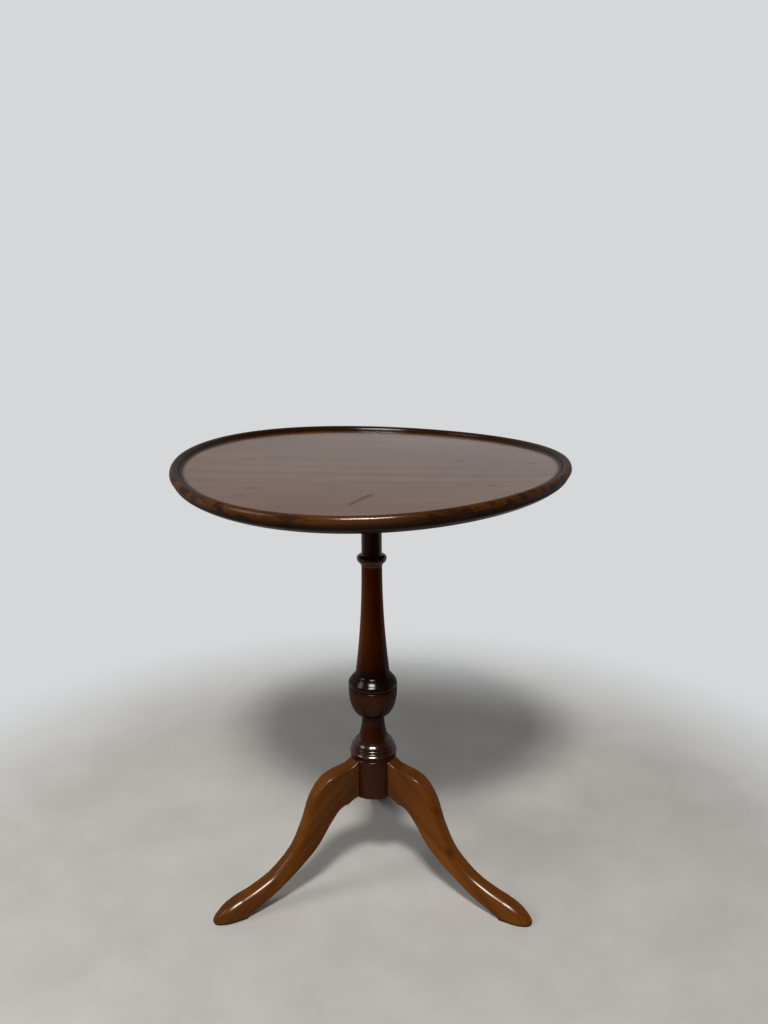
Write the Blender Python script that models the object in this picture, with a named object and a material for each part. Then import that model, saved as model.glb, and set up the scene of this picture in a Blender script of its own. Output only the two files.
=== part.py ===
"""Tripod wine table: a dished round top on a turned column with three cabriole legs.

Metres, +Z up. The origin is on the floor under the column's axis, and the back leg points to +Y.
"""

import math

import bmesh
import bpy
from mathutils import Vector

for old in list(bpy.data.objects):
    bpy.data.objects.remove(old)

# Gap kept between two pieces that seat on or in each other
CLEARANCE = 0.0003

# Dished top: the rim's crest is TOP_BOARD above the underside
TOP_RADIUS = 0.2267
TOP_BOARD = 0.0232
DISH_DEPTH = 0.005
RIM_BEAD = 0.0105
RIM_CREST_INSET = 0.0042
RIM_EDGE_DROP = 0.0070
RIM_BEVEL = 0.0076
RIM_BEVEL_INSET = 0.0044
RIM_UNDERCUT = 0.026
RIM_BELLY = 0.0020
RIM_QUIRK = 0.003
RIM_COVE = 0.006

# Twist of the old board: two opposite quarters stand up and the other two hang down
TOP_WARP = 0.0048
TOP_WARP_TURN = math.radians(-25.0)
SEAT_MARGIN = 0.004

# Round block that carries the top
BLOCK_RADIUS = 0.058
BLOCK_THICKNESS = 0.0146
BLOCK_CHAMFER = 0.006
TENON_RADIUS = 0.010

# Wedge in the saw kerf of the tenon
KERF_DEPTH = 0.011
WEDGE_TOP = 0.0026
WEDGE_POINT = 0.0010
WEDGE_INSET = 0.0005

# Turned column: heights of its mouldings from the drum up
DRUM_BOTTOM = 0.1173
DRUM_HEIGHT = 0.0492
BAND_HEIGHT = 0.0032
NOSE_HEIGHT = 0.0025
BEAD_HEIGHT = 0.0056
HOLLOW_HEIGHT = 0.0027
RING_HEIGHT = 0.0028
CUSHION_HEIGHT = 0.0057
WAIST_HEIGHT = 0.0330
URN_HEIGHT = 0.0329
URN_BAND = 0.0052
FILLET_HEIGHT = 0.0018
SHOULDER_HEIGHT = 0.0170
SHAFT_HEIGHT = 0.1344
LISTEL_HEIGHT = 0.0030
COLLAR_HEIGHT = 0.0098
NECK_HEIGHT = 0.0504
CAPITAL_HEIGHT = 0.0194
ABACUS_HEIGHT = 0.0040

# Turned column: radii of its mouldings
DRUM_RADIUS = 0.0278
BAND_RADIUS = 0.0280
BEAD_FOOT = 0.0262
BEAD_RADIUS = 0.0290
BEAD_EDGE = 0.0264
BEAD_BOW = 0.0003
HOLLOW_DEPTH = 0.0010
RING_EDGE = 0.0256
RING_RADIUS = 0.0268
CUSHION_RADIUS = 0.0257
CUSHION_EDGE = 0.0214
CUSHION_BOW = 0.0005
FLARE_RADIUS = 0.0195
WAIST_RADIUS = 0.0139
WAIST_HOLLOW = 0.0021
URN_RADIUS = 0.0294
FILLET_DEPTH = 0.0011
SHOULDER_RADIUS = 0.0297
SHOULDER_BOW = 0.0016
SHAFT_FOOT_RADIUS = 0.0204
SHAFT_TOP_RADIUS = 0.0122
SHAFT_EASE = 2.03
LISTEL_RADIUS = 0.0129
COLLAR_RADIUS = 0.0177
COLLAR_CROWN = 0.6
NECK_RADIUS = 0.0120
CAPITAL_RADIUS = 0.0180
CAPITAL_HOLLOW = 0.0024

# Cabriole legs
LEG_THICKNESS = 0.020
FOOT_WIDTH = 0.0245
TOE_RADIUS = 0.2163
LEG_TOP_DROP = 0.0018
LEG_DIRECTIONS = {"back": 90.0, "left": 210.0, "right": 330.0}

# Arrises of a leg, crisp at the root and soft at the foot, with their largest shares of a section
ROOT_ARRIS = 0.0017
KNEE_ARRIS = 0.0085
ANKLE_ARRIS = 0.0095
FOOT_ARRIS = 0.0115
BELLY_ARRIS = 0.0014
KNEE_START = 0.06
KNEE_END = 0.32
BACK_ROUND_WIDTH = 0.94
BACK_ROUND_DEPTH = 0.80
BELLY_ROUND_WIDTH = 0.40
BELLY_ROUND_DEPTH = 0.15

# A leg's outline, drawn at full size in millimetres: out from the axis, up from the floor.
# It is stretched between the drum's flat, the toe, the drum's bottom and the leg's top edge.
LEG_HOLLOW = ((26.2, 164.7), (34.0, 159.6), (43.0, 157.1), (52.0, 155.3))
LEG_ARCH = ((26.2, 117.3), (32.3, 115.4), (36.9, 112.8), (40.3, 110.2))
LEG_BACK = ((52.0, 155.3), (62.0, 152.3), (70.2, 147.7), (80.0, 138.2), (88.9, 124.5), (98.9, 96.8),
            (113.0, 69.2), (138.2, 45.3), (163.0, 32.7), (183.4, 25.8))
LEG_BELLY = ((40.3, 110.2), (45.0, 110.2), (54.0, 104.7), (66.8, 88.4), (84.6, 63.7), (112.5, 39.9),
             (143.0, 19.4), (164.0, 9.0), (178.5, 2.2))
LEG_INSTEP = ((183.4, 25.8), (194.4, 21.6), (204.3, 16.0), (211.2, 10.0), (214.9, 4.8), (216.3, 1.2))
LEG_SOLE = ((179.0, 0.0), (215.7, 0.0))
FOOT_SPREAD = 3
TOE_START = 0.38
TOE_TIP = 0.25

# Stopped dovetails that hold the legs in the drum
TAIL_NECK = 0.011
TAIL_END = 0.015
TAIL_DEPTH = 0.012
TAIL_STOP = 0.0072
TAIL_ROOT = 0.002

# Steel plate under the drum
PLATE_THICKNESS = 0.0015
PLATE_EDGE = 0.0045

# Wood screws
BLOCK_SCREW_INSET = 0.018
BLOCK_SCREW_COVER = 0.005
BLOCK_SCREW_RADIUS = 0.0020
BLOCK_HEAD_RADIUS = 0.0040
BLOCK_HEAD_HEIGHT = 0.0024
BLOCK_SCREW_ANGLES = (45.0, 135.0, 225.0, 315.0)
PLATE_SCREW_BITE = 0.012
PLATE_SCREW_RADIUS = 0.0015
PLATE_HEAD_RADIUS = 0.0030
PLATE_HEAD_HEIGHT = 0.0018
SCREW_POINT = 0.004
SLOT_WIDTH = 0.0008
SLOT_DEPTH = 0.0009

# How far a cutter runs past the face that it opens
CUT_PAST = 0.004

# Fineness of the shapes
TOP_SEGMENTS = 64
COLUMN_SEGMENTS = 40
SCREW_SEGMENTS = 12
FIELD_RINGS = (0.0, 0.3, 0.55, 0.8)
FINE_STEPS = 3
SECTION_STEPS = 4
ARC_STEPS = 5
LONG_STEPS = 7
BELLY_STEPS = 2
ROOT_STATIONS = 4
LIMB_STATIONS = 18
FOOT_STATIONS = 7
CURVE_FINENESS = 24
MERGE_DISTANCE = 1e-6
SMOOTH_ANGLE = math.radians(40.0)

# Levels that follow from the stack of mouldings
DRUM_TOP = DRUM_BOTTOM + DRUM_HEIGHT
BAND_TOP = DRUM_TOP + BAND_HEIGHT
BEAD_NOSE = BAND_TOP + NOSE_HEIGHT
BEAD_TOP = BAND_TOP + BEAD_HEIGHT
RING_BOTTOM = BEAD_TOP + HOLLOW_HEIGHT
CUSHION_BOTTOM = RING_BOTTOM + RING_HEIGHT
WAIST_BOTTOM = CUSHION_BOTTOM + CUSHION_HEIGHT
URN_BOTTOM = WAIST_BOTTOM + WAIST_HEIGHT
URN_BELT = URN_BOTTOM + URN_HEIGHT
FILLET_BOTTOM = URN_BELT + URN_BAND
SHOULDER_BOTTOM = FILLET_BOTTOM + FILLET_HEIGHT
SHAFT_BOTTOM = SHOULDER_BOTTOM + SHOULDER_HEIGHT
LISTEL_BOTTOM = SHAFT_BOTTOM + SHAFT_HEIGHT
COLLAR_BOTTOM = LISTEL_BOTTOM + LISTEL_HEIGHT
COLLAR_WIDEST = COLLAR_BOTTOM + COLLAR_HEIGHT * COLLAR_CROWN
NECK_BOTTOM = COLLAR_BOTTOM + COLLAR_HEIGHT
CAPITAL_BOTTOM = NECK_BOTTOM + NECK_HEIGHT
ABACUS_BOTTOM = CAPITAL_BOTTOM + CAPITAL_HEIGHT
ABACUS_TOP = ABACUS_BOTTOM + ABACUS_HEIGHT
BLOCK_BOTTOM = ABACUS_TOP + CLEARANCE
BLOCK_TOP = BLOCK_BOTTOM + BLOCK_THICKNESS
TOP_UNDERSIDE = BLOCK_TOP + CLEARANCE
TOP_CREST = TOP_UNDERSIDE + TOP_BOARD
TOP_FIELD = TOP_CREST - DISH_DEPTH
PLATE_TOP = DRUM_BOTTOM - CLEARANCE
PLATE_BOTTOM = PLATE_TOP - PLATE_THICKNESS

# Places that follow from the fits
TOP_FLAT = BLOCK_RADIUS + SEAT_MARGIN
DRUM_FLAT = math.sqrt(DRUM_RADIUS ** 2 - (LEG_THICKNESS / 2) ** 2)
LEG_SHOULDER = DRUM_FLAT + CLEARANCE
LEG_TOP = DRUM_TOP - LEG_TOP_DROP
TAIL_TOP = DRUM_TOP - TAIL_STOP
PLATE_SCREW_CIRCLE = LEG_SHOULDER - TAIL_DEPTH / 2
PLATE_RADIUS = PLATE_SCREW_CIRCLE + PLATE_EDGE
BLOCK_SCREW_CIRCLE = BLOCK_RADIUS - BLOCK_SCREW_INSET
BLOCK_SCREW_LENGTH = TOP_FIELD - BLOCK_SCREW_COVER - BLOCK_BOTTOM
PLATE_SCREW_LENGTH = PLATE_HEAD_HEIGHT + PLATE_THICKNESS + PLATE_SCREW_BITE


def finish(name, colour, roughness, metallic=0.0):
    """A plain material with the piece's main colour."""
    material = bpy.data.materials.new(name)
    material.use_nodes = True
    shader = material.node_tree.nodes["Principled BSDF"]
    shader.inputs["Base Color"].default_value = (*colour, 1.0)
    shader.inputs["Roughness"].default_value = roughness
    shader.inputs["Metallic"].default_value = metallic
    return material


TOP_WOOD = finish("top_mahogany", (0.16, 0.055, 0.020), 0.30)
COLUMN_WOOD = finish("column_mahogany", (0.10, 0.028, 0.012), 0.32)
LEG_WOOD = finish("leg_mahogany", (0.20, 0.070, 0.018), 0.32)
BLOCK_WOOD = finish("block_wood", (0.12, 0.050, 0.022), 0.60)
WEDGE_WOOD = finish("wedge_wood", (0.30, 0.17, 0.080), 0.65)
STEEL = finish("screw_steel", (0.42, 0.40, 0.38), 0.40, 1.0)


def add_piece(name, bm, material):
    """Close a mesh up as a named piece, smooth where its faces meet at a low angle."""
    bmesh.ops.recalc_face_normals(bm, faces=bm.faces)
    mesh = bpy.data.meshes.new(name)
    bm.to_mesh(mesh)
    bm.free()
    mesh.shade_smooth()
    mesh.set_sharp_from_angle(angle=SMOOTH_ANGLE)
    mesh.materials.append(material)
    piece = bpy.data.objects.new(name, mesh)
    bpy.context.scene.collection.objects.link(piece)
    return piece


def add_cutter(name, bm):
    """A shape that only cuts or joins other pieces."""
    cutter = add_piece(name, bm, BLOCK_WOOD)
    cutter.hide_render = True
    cutter.display_type = "WIRE"
    return cutter


def combine(piece, cutter, operation="DIFFERENCE"):
    step = piece.modifiers.new(cutter.name, "BOOLEAN")
    step.operation = operation
    step.solver = "EXACT"
    step.object = cutter


def ellipse(centre, half_r, half_z, start, end, steps):
    """Points of an ellipse's arc in the turning plane, from one angle in degrees to another."""
    points = []
    for step in range(steps + 1):
        angle = math.radians(start + (end - start) * step / steps)
        points.append((centre[0] + half_r * math.cos(angle), centre[1] + half_z * math.sin(angle)))
    return points


def bowed(start, end, bow, steps):
    """Points of a shallow bow that rises outwards by bow at its middle, or hollow for a negative bow."""
    along = Vector(end) - Vector(start)
    outwards = Vector((along.y, -along.x)).normalized()
    points = []
    for step in range(steps + 1):
        share = step / steps
        points.append(tuple(Vector(start) + along * share + outwards * (4 * bow * share * (1 - share))))
    return points


def turned(profile, segments, closed=False):
    """Spin a profile of (radius, height) points around Z into a closed mesh."""
    bm = bmesh.new()
    verts = [bm.verts.new((radius, 0.0, height)) for radius, height in profile]
    edges = [bm.edges.new(pair) for pair in zip(verts, verts[1:])]
    if closed:
        edges.append(bm.edges.new((verts[-1], verts[0])))
    bmesh.ops.spin(bm, geom=verts + edges, cent=(0, 0, 0), axis=(0, 0, 1), angle=math.tau,
                   steps=segments, use_merge=True)
    bmesh.ops.remove_doubles(bm, verts=bm.verts, dist=MERGE_DISTANCE)
    return bm


def prism(outline, bottom, top):
    """Raise a flat outline of (x, y) points from one level to another."""
    bm = bmesh.new()
    face = bm.faces.new([bm.verts.new((x, y, bottom)) for x, y in outline])
    raised = bmesh.ops.extrude_face_region(bm, geom=[face])
    verts = [item for item in raised["geom"] if isinstance(item, bmesh.types.BMVert)]
    bmesh.ops.translate(bm, verts=verts, vec=(0, 0, top - bottom))
    return bm


def rectangle(low_x, high_x, half_y):
    return [(low_x, -half_y), (high_x, -half_y), (high_x, half_y), (low_x, half_y)]


def around(radius, degrees, height=0.0):
    """A point at a distance from the axis, in a direction and at a level."""
    angle = math.radians(degrees)
    return Vector((radius * math.cos(angle), radius * math.sin(angle), height))


def warp_top(bm):
    """Twist the board outside the flat middle that seats on the block."""
    for vert in bm.verts:
        radius = math.hypot(vert.co.x, vert.co.y)
        share = max(0.0, (radius - TOP_FLAT) / (TOP_RADIUS - TOP_FLAT))
        angle = math.atan2(vert.co.y, vert.co.x)
        vert.co.z += TOP_WARP * share ** 2 * math.cos(2 * (angle - TOP_WARP_TURN))


def make_top():
    """Dished board: flat field, cove, rounded rim and bevelled lower edge, with a slight twist."""
    field_edge = TOP_RADIUS - RIM_BEAD - RIM_COVE
    crest = TOP_RADIUS - RIM_CREST_INSET
    under_edge = TOP_RADIUS - RIM_UNDERCUT
    bead = RIM_BEAD - RIM_CREST_INSET
    edge_level = TOP_CREST - RIM_EDGE_DROP
    quirk_level = TOP_CREST - RIM_QUIRK
    field = [(TOP_FLAT + (field_edge - TOP_FLAT) * share, TOP_FIELD) for share in FIELD_RINGS]
    under = [(TOP_FLAT + (under_edge - TOP_FLAT) * share, TOP_UNDERSIDE) for share in reversed(FIELD_RINGS)]
    cove = ellipse((field_edge, quirk_level), RIM_COVE, DISH_DEPTH - RIM_QUIRK, -90, 0, ARC_STEPS)
    inner = ellipse((crest, quirk_level), bead, RIM_QUIRK, 180, 90, ARC_STEPS)
    upper = ellipse((crest, edge_level), RIM_CREST_INSET, RIM_EDGE_DROP, 90, 0, ARC_STEPS)
    bevel = (TOP_RADIUS - RIM_BEVEL_INSET, edge_level - RIM_BEVEL)
    lower = bowed((under_edge, TOP_UNDERSIDE), bevel, RIM_BELLY, ARC_STEPS)[::-1]
    profile = [(0.0, TOP_FIELD)] + field + cove + inner + upper + lower + under + [(0.0, TOP_UNDERSIDE)]
    bm = turned(profile, TOP_SEGMENTS)
    warp_top(bm)
    return add_piece("top", bm, TOP_WOOD)


def make_block():
    """Turned disc with a chamfered lower edge and a bore for the column's tenon."""
    bore = TENON_RADIUS + CLEARANCE
    profile = [
        (bore, BLOCK_BOTTOM),
        (BLOCK_RADIUS - BLOCK_CHAMFER, BLOCK_BOTTOM),
        (BLOCK_RADIUS, BLOCK_BOTTOM + BLOCK_CHAMFER),
        (BLOCK_RADIUS, BLOCK_TOP),
        (bore, BLOCK_TOP),
    ]
    return add_piece("top_block", turned(profile, COLUMN_SEGMENTS, closed=True), BLOCK_WOOD)


def shaft_points(steps):
    """The long shaft, which sweeps in fast above the shoulder and then runs nearly straight."""
    points = []
    for step in range(steps + 1):
        share = step / steps
        swell = (SHAFT_FOOT_RADIUS - SHAFT_TOP_RADIUS) * (1 - share) ** SHAFT_EASE
        points.append((SHAFT_TOP_RADIUS + swell, SHAFT_BOTTOM + SHAFT_HEIGHT * share))
    return points


def half_bead(edge, widest, bottom, top, steps):
    """Points of a half round that swells from an edge radius to its widest and back."""
    return ellipse((edge, (bottom + top) / 2), widest - edge, (top - bottom) / 2, -90, 90, steps)


def make_column():
    """Drum, base mouldings, urn, shaft, collar, neck and capital turned in one, with a tenon on top."""
    profile = [(0.0, DRUM_BOTTOM), (DRUM_RADIUS, DRUM_BOTTOM), (DRUM_RADIUS, DRUM_TOP)]
    profile += [(BAND_RADIUS, DRUM_TOP), (BAND_RADIUS, BAND_TOP)]
    profile += ellipse((BEAD_FOOT, BEAD_NOSE), BEAD_RADIUS - BEAD_FOOT, NOSE_HEIGHT, -90, 0, ARC_STEPS)
    profile += bowed(profile[-1], (BEAD_EDGE, BEAD_TOP), BEAD_BOW, FINE_STEPS)[1:]
    profile += bowed(profile[-1], (RING_EDGE, RING_BOTTOM), -HOLLOW_DEPTH, FINE_STEPS)[1:-1]
    profile += half_bead(RING_EDGE, RING_RADIUS, RING_BOTTOM, CUSHION_BOTTOM, ARC_STEPS)
    cushion = ((CUSHION_RADIUS, CUSHION_BOTTOM), (CUSHION_EDGE, WAIST_BOTTOM))
    profile += bowed(*cushion, CUSHION_BOW, FINE_STEPS)
    waist = ((FLARE_RADIUS, WAIST_BOTTOM), (WAIST_RADIUS, URN_BOTTOM))
    profile += bowed(*waist, -WAIST_HOLLOW, LONG_STEPS)
    swell = URN_RADIUS - WAIST_RADIUS
    profile += ellipse((WAIST_RADIUS, URN_BELT), swell, URN_HEIGHT, -90, 0, LONG_STEPS)[1:]
    profile += [(URN_RADIUS, FILLET_BOTTOM)]
    fillet = (SHOULDER_RADIUS - FILLET_DEPTH, SHOULDER_BOTTOM)
    profile += ellipse(fillet, FILLET_DEPTH, FILLET_HEIGHT, -90, 0, FINE_STEPS)
    profile += bowed(profile[-1], (SHAFT_FOOT_RADIUS, SHAFT_BOTTOM), SHOULDER_BOW, ARC_STEPS)[1:]
    profile += shaft_points(LONG_STEPS)[1:]
    profile += [(LISTEL_RADIUS, LISTEL_BOTTOM)]
    low_half = (COLLAR_RADIUS - LISTEL_RADIUS, COLLAR_WIDEST - COLLAR_BOTTOM)
    high_half = (COLLAR_RADIUS - NECK_RADIUS, NECK_BOTTOM - COLLAR_WIDEST)
    profile += ellipse((LISTEL_RADIUS, COLLAR_WIDEST), *low_half, -90, 0, ARC_STEPS)
    profile += ellipse((NECK_RADIUS, COLLAR_WIDEST), *high_half, 0, 90, ARC_STEPS)[1:]
    capital = ((NECK_RADIUS, CAPITAL_BOTTOM), (CAPITAL_RADIUS, ABACUS_BOTTOM))
    profile += bowed(*capital, -CAPITAL_HOLLOW, ARC_STEPS)
    profile += [(CAPITAL_RADIUS, ABACUS_TOP), (TENON_RADIUS, ABACUS_TOP)]
    profile += [(TENON_RADIUS, BLOCK_TOP), (0.0, BLOCK_TOP)]
    return add_piece("column", turned(profile, COLUMN_SEGMENTS), COLUMN_WOOD)


def wedge_shape(grow, past):
    """A thin wedge that points down into the tenon, grown on every side for its kerf."""
    point = BLOCK_TOP - KERF_DEPTH - grow
    top = BLOCK_TOP + past
    half_y = TENON_RADIUS - WEDGE_INSET + past
    bm = prism(rectangle(-WEDGE_TOP, WEDGE_TOP, half_y), point, top)
    for vert in bm.verts:
        half_x = (WEDGE_POINT if vert.co.z < BLOCK_TOP - KERF_DEPTH / 2 else WEDGE_TOP) / 2 + grow
        vert.co.x = math.copysign(half_x, vert.co.x)
    return bm


def make_wedge(column):
    combine(column, add_cutter("kerf_cutter", wedge_shape(CLEARANCE, CUT_PAST)))
    return add_piece("tenon_wedge", wedge_shape(0.0, 0.0), WEDGE_WOOD)


def smooth_curve(knots, count):
    """Evenly spaced points, count of them, on a smooth curve through the knots."""
    fine = []
    for index in range(len(knots) - 1):
        before = knots[max(index - 1, 0)]
        start = knots[index]
        end = knots[index + 1]
        after = knots[min(index + 2, len(knots) - 1)]
        leaving = (end - before) / 2
        arriving = (after - start) / 2
        for step in range(CURVE_FINENESS):
            t = step / CURVE_FINENESS
            fine.append(start * (2 * t ** 3 - 3 * t ** 2 + 1) + leaving * (t ** 3 - 2 * t ** 2 + t)
                        + end * (3 * t ** 2 - 2 * t ** 3) + arriving * (t ** 3 - t ** 2))
    fine.append(knots[-1])
    lengths = [0.0]
    for start, end in zip(fine, fine[1:]):
        lengths.append(lengths[-1] + (end - start).length)
    points = []
    place = 0
    for step in range(count):
        goal = lengths[-1] * step / (count - 1)
        while place < len(fine) - 2 and lengths[place + 1] < goal:
            place += 1
        share = (goal - lengths[place]) / (lengths[place + 1] - lengths[place])
        points.append(fine[place].lerp(fine[place + 1], share))
    return points


def drawn(outline):
    """A leg's drawn outline, stretched to the drum's flat and bottom, the toe and the leg's top edge."""
    first_out, first_up = LEG_HOLLOW[0]
    arch_up = LEG_ARCH[0][1]
    reach = (TOE_RADIUS - LEG_SHOULDER) / (LEG_INSTEP[-1][0] - first_out)
    above = (LEG_TOP - DRUM_BOTTOM) / (first_up - arch_up)
    below = DRUM_BOTTOM / arch_up
    points = []
    for out, up in outline:
        level = DRUM_BOTTOM + (up - arch_up) * (above if up > arch_up else below)
        points.append(Vector((LEG_SHOULDER + (out - first_out) * reach, level)))
    return points


def along(upper, lower, count):
    """Pairs of points on an upper and a lower outline, with each pair's share of the way."""
    pairs = zip(smooth_curve(drawn(upper), count), smooth_curve(drawn(lower), count))
    return [(above, below, index / (count - 1)) for index, (above, below) in enumerate(pairs)]


def leg_stations():
    """Pairs of points on the leg's upper and lower edges, with the half width and arris radius there."""
    half = LEG_THICKNESS / 2
    half_foot = FOOT_WIDTH / 2
    stations = []
    for upper, lower, share in along(LEG_HOLLOW, LEG_ARCH, ROOT_STATIONS)[:-1]:
        stations.append((upper, lower, half, ROOT_ARRIS))
    for upper, lower, share in along(LEG_BACK, LEG_BELLY, LIMB_STATIONS):
        knee = min(1.0, max(0.0, (share - KNEE_START) / (KNEE_END - KNEE_START)))
        softness = knee ** 2 * (3 - 2 * knee)
        arris = ROOT_ARRIS + (KNEE_ARRIS - ROOT_ARRIS) * softness + (ANKLE_ARRIS - KNEE_ARRIS) * share
        stations.append((upper, lower, half + (half_foot - half) * share ** FOOT_SPREAD, arris))
    for upper, lower, share in along(LEG_INSTEP, LEG_SOLE, FOOT_STATIONS):
        turn = max(0.0, (share - TOE_START) / (1.0 - TOE_START))
        width = half_foot * math.sqrt(1.0 - (1.0 - TOE_TIP ** 2) * turn ** 2)
        stations.append((upper, lower, width, ANKLE_ARRIS + (FOOT_ARRIS - ANKLE_ARRIS) * share))
    return stations


def leg_section(upper, lower, half_width, arris):
    """Ring of points across the leg: rounded arrises above, fine ones below."""
    depth = (upper - lower).length
    rise = (upper - lower) / depth
    back = min(arris, BACK_ROUND_WIDTH * half_width, BACK_ROUND_DEPTH * depth)
    belly = min(BELLY_ARRIS, BELLY_ROUND_WIDTH * half_width, BELLY_ROUND_DEPTH * depth)
    corners = (
        (1, belly, belly, -90, 0, BELLY_STEPS),
        (1, depth - back, back, 0, 90, SECTION_STEPS),
        (-1, depth - back, back, 90, 180, SECTION_STEPS),
        (-1, belly, belly, 180, 270, BELLY_STEPS),
    )
    ring = []
    for side, level, radius, start, end, steps in corners:
        for across, up in ellipse((side * (half_width - radius), level), radius, radius, start, end, steps):
            spot = lower + rise * up
            ring.append(Vector((spot.x, across, spot.y)))
    return ring


def leg_body():
    """Loft the sections into one closed limb from the shoulder to the toe."""
    bm = bmesh.new()
    rings = []
    for station in leg_stations():
        rings.append([bm.verts.new(point) for point in leg_section(*station)])
    count = len(rings[0])
    for near, far in zip(rings, rings[1:]):
        for index in range(count):
            following = (index + 1) % count
            bm.faces.new((near[index], near[following], far[following], far[index]))
    bm.faces.new(rings[0])
    bm.faces.new(rings[-1])
    bmesh.ops.remove_doubles(bm, verts=bm.verts, dist=MERGE_DISTANCE)
    return bm


def tail_outline(inner, outer, grow):
    """Dovetail seen from above, wider towards the axis."""
    outline = []
    for x, side in ((inner, -1), (outer, -1), (outer, 1), (inner, 1)):
        flare = (TAIL_END - TAIL_NECK) * (LEG_SHOULDER - x) / TAIL_DEPTH
        outline.append((x, side * ((TAIL_NECK + flare) / 2 + grow)))
    return outline


def turn_to(piece, degrees):
    piece.rotation_euler.z = math.radians(degrees)


def make_leg(side, degrees, column):
    """A leg with its dovetail, and the flat and socket that take it in the drum."""
    leg = add_piece("leg_" + side, leg_body(), LEG_WOOD)
    tail_inner = LEG_SHOULDER - TAIL_DEPTH
    tail = prism(tail_outline(tail_inner, LEG_SHOULDER + TAIL_ROOT, 0.0), DRUM_BOTTOM, TAIL_TOP)
    tail_join = add_cutter("tail_join_" + side, tail)
    socket = prism(tail_outline(tail_inner - CLEARANCE, DRUM_RADIUS + CUT_PAST, CLEARANCE),
                   DRUM_BOTTOM - CUT_PAST, TAIL_TOP + CLEARANCE)
    socket_cutter = add_cutter("socket_cutter_" + side, socket)
    flat = prism(rectangle(DRUM_FLAT, DRUM_RADIUS + CUT_PAST, LEG_THICKNESS / 2 + CUT_PAST),
                 DRUM_BOTTOM - CUT_PAST, LEG_TOP + CLEARANCE)
    flat_cutter = add_cutter("flat_cutter_" + side, flat)
    for item in (leg, tail_join, socket_cutter, flat_cutter):
        turn_to(item, degrees)
    combine(leg, tail_join, "UNION")
    combine(column, flat_cutter)
    combine(column, socket_cutter)
    return leg


def block_screw_profile(grow, past):
    """Countersunk wood screw, point up, with its head's face at zero."""
    shank = BLOCK_SCREW_RADIUS + grow
    head = BLOCK_HEAD_RADIUS + grow
    tip = BLOCK_SCREW_LENGTH + grow
    head_face = [(0.0, -past), (head, -past), (head, 0.0)]
    return head_face + [(shank, BLOCK_HEAD_HEIGHT), (shank, tip - SCREW_POINT), (0.0, tip)]


def plate_screw_profile():
    """Round-headed wood screw, point up, with the crown of its head at zero."""
    tip = PLATE_SCREW_LENGTH
    head = ellipse((0.0, PLATE_HEAD_HEIGHT), PLATE_HEAD_RADIUS, PLATE_HEAD_HEIGHT, -90, 0, FINE_STEPS)
    shank = [(PLATE_SCREW_RADIUS, PLATE_HEAD_HEIGHT), (PLATE_SCREW_RADIUS, tip - SCREW_POINT), (0.0, tip)]
    return head + shank


def pilot_profile():
    """Hole for a plate screw, from below the plate to just past the screw's point."""
    radius = PLATE_SCREW_RADIUS + CLEARANCE
    tip = PLATE_SCREW_LENGTH + CLEARANCE
    return [(0.0, -CUT_PAST), (radius, -CUT_PAST), (radius, tip - SCREW_POINT), (0.0, tip)]


def cut_slot(screw, head_radius):
    """Driver slot across a screw's head."""
    half_length = head_radius + CUT_PAST
    slot = prism(rectangle(-half_length, half_length, SLOT_WIDTH / 2), -CUT_PAST, SLOT_DEPTH)
    cutter = add_cutter(screw.name + "_slot", slot)
    cutter.location = screw.location
    combine(screw, cutter)


def make_block_screws(block, top):
    """Four screws that go up through the block into the top."""
    for number, degrees in enumerate(BLOCK_SCREW_ANGLES, start=1):
        spot = around(BLOCK_SCREW_CIRCLE, degrees, BLOCK_BOTTOM)
        solid = turned(block_screw_profile(0.0, 0.0), SCREW_SEGMENTS)
        screw = add_piece(f"block_screw_{number}", solid, STEEL)
        bore = turned(block_screw_profile(CLEARANCE, CUT_PAST), SCREW_SEGMENTS)
        hole = add_cutter(f"block_hole_{number}", bore)
        screw.location = spot
        hole.location = spot
        combine(block, hole)
        combine(top, hole)
        cut_slot(screw, BLOCK_HEAD_RADIUS)


def make_plate(column, legs):
    """Round steel plate under the drum, screwed into the column and into each leg's dovetail."""
    edge = [(PLATE_RADIUS, PLATE_BOTTOM), (PLATE_RADIUS, PLATE_TOP)]
    profile = [(0.0, PLATE_BOTTOM)] + edge + [(0.0, PLATE_TOP)]
    plate = add_piece("tie_plate", turned(profile, COLUMN_SEGMENTS), STEEL)
    head_level = PLATE_BOTTOM - CLEARANCE - PLATE_HEAD_HEIGHT
    spots = {"centre": (column, around(0.0, 0.0, head_level))}
    for side, leg in legs.items():
        spots[side] = (leg, around(PLATE_SCREW_CIRCLE, LEG_DIRECTIONS[side], head_level))
    for place, (wood, spot) in spots.items():
        screw = add_piece("plate_screw_" + place, turned(plate_screw_profile(), SCREW_SEGMENTS), STEEL)
        hole = add_cutter("plate_hole_" + place, turned(pilot_profile(), SCREW_SEGMENTS))
        screw.location = spot
        hole.location = spot
        combine(plate, hole)
        combine(wood, hole)
        cut_slot(screw, PLATE_HEAD_RADIUS)


def main():
    top = make_top()
    block = make_block()
    column = make_column()
    make_wedge(column)
    legs = {side: make_leg(side, degrees, column) for side, degrees in LEG_DIRECTIONS.items()}
    make_block_screws(block, top)
    make_plate(column, legs)


main()
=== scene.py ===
"""Looks of the wine table: finer turned and carved pieces, polished wood, a pale floor and soft light.

Metres, +Z up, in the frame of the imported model. The back leg points to +Y.
"""

import math

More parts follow.
